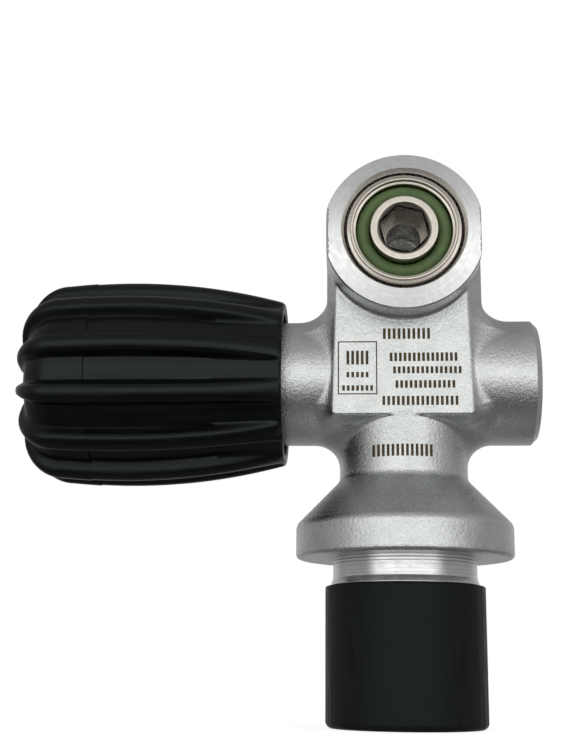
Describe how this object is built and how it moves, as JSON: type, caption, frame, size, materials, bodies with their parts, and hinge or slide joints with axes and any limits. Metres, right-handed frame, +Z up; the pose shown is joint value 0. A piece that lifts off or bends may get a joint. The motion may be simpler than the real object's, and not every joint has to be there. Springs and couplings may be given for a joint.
{
  "type": "scuba cylinder valve",
  "caption": "Scuba cylinder valve with a forged chrome body, a screw-in outlet insert, a ribbed rubber handwheel, a plugged side port and a capped tank stem.",
  "frame": {"origin": "centre of the flange's underside, on the stem axis, where the valve seats on the tank neck", "axes": "+Z up the stem axis towards the outlet; the outlet faces -Y; the handwheel is on the -X side"},
  "size_m": [0.0975, 0.0404, 0.1031],
  "materials": {
    "satin_chrome": "bead-blasted satin chrome plate",
    "machined_chrome": "turned and plated",
    "insert_nickel": "turned nickel plate over brass",
    "green_rubber": "satin",
    "black_rubber": "satin",
    "protector_plastic": "satin, lightly brushed",
    "spindle_steel": "turned",
    "seat_brass": "turned",
    "white_plastic": "smooth",
    "grip_rubber": "matte moulded",
    "hub_plastic": "moulded",
    "spring_steel": "bright"
  },
  "bodies": {
    "valve": {"valve_body": "satin_chrome", "bonnet_nut": "machined_chrome", "bonnet_o_ring": "black_rubber", "spindle_friction_washer": "white_plastic", "side_port_plug": "machined_chrome", "side_plug_o_ring": "black_rubber", "hub_slip_washer": "white_plastic"},
    "handwheel": {"drive_spindle": "spindle_steel", "spindle_outer_o_ring": "black_rubber", "spindle_inner_o_ring": "black_rubber", "handwheel_grip": "grip_rubber", "handwheel_hub": "hub_plastic", "handwheel_spring": "spring_steel", "spring_washer": "spring_steel", "handwheel_nut": "spring_steel"},
    "seat": {"seat_carrier": "seat_brass", "seat_disc": "white_plastic"},
    "insert_seal": {"insert_rear_o_ring": "black_rubber"},
    "insert": {"outlet_insert": "insert_nickel", "insert_face_o_ring": "green_rubber"},
    "protector": {"thread_protector": "protector_plastic"}
  },
  "joints": [
    {"name": "handwheel_turn", "type": "hinge", "parent": "valve", "child": "handwheel", "pos_m": [0, 0, 0.0335], "axis": [-1, 0, 0], "range_deg": [0, 1080]},
    {"name": "seat_travel", "type": "slide", "parent": "handwheel", "child": "seat", "axis": [-1, 0, 0], "range_m": [0, 0.003]},
    {"name": "insert_slide", "type": "slide", "parent": "valve", "child": "insert_seal", "axis": [0, -1, 0], "range_m": [0, 0.0146]},
    {"name": "insert_turn", "type": "hinge", "parent": "insert_seal", "child": "insert", "pos_m": [0, 0, 0.058], "axis": [0, -1, 0], "range_deg": [0, 2880]},
    {"name": "protector_off", "type": "slide", "parent": "valve", "child": "protector", "axis": [0, 0, -1], "range_m": [0, 0.03]}
  ],
  "couplings": [
    {"joint": "seat_travel", "follows": "handwheel_turn", "m_per_rad": 0.00015915},
    {"joint": "insert_slide", "follows": "insert_turn", "m_per_rad": 0.00028875}
  ]
}
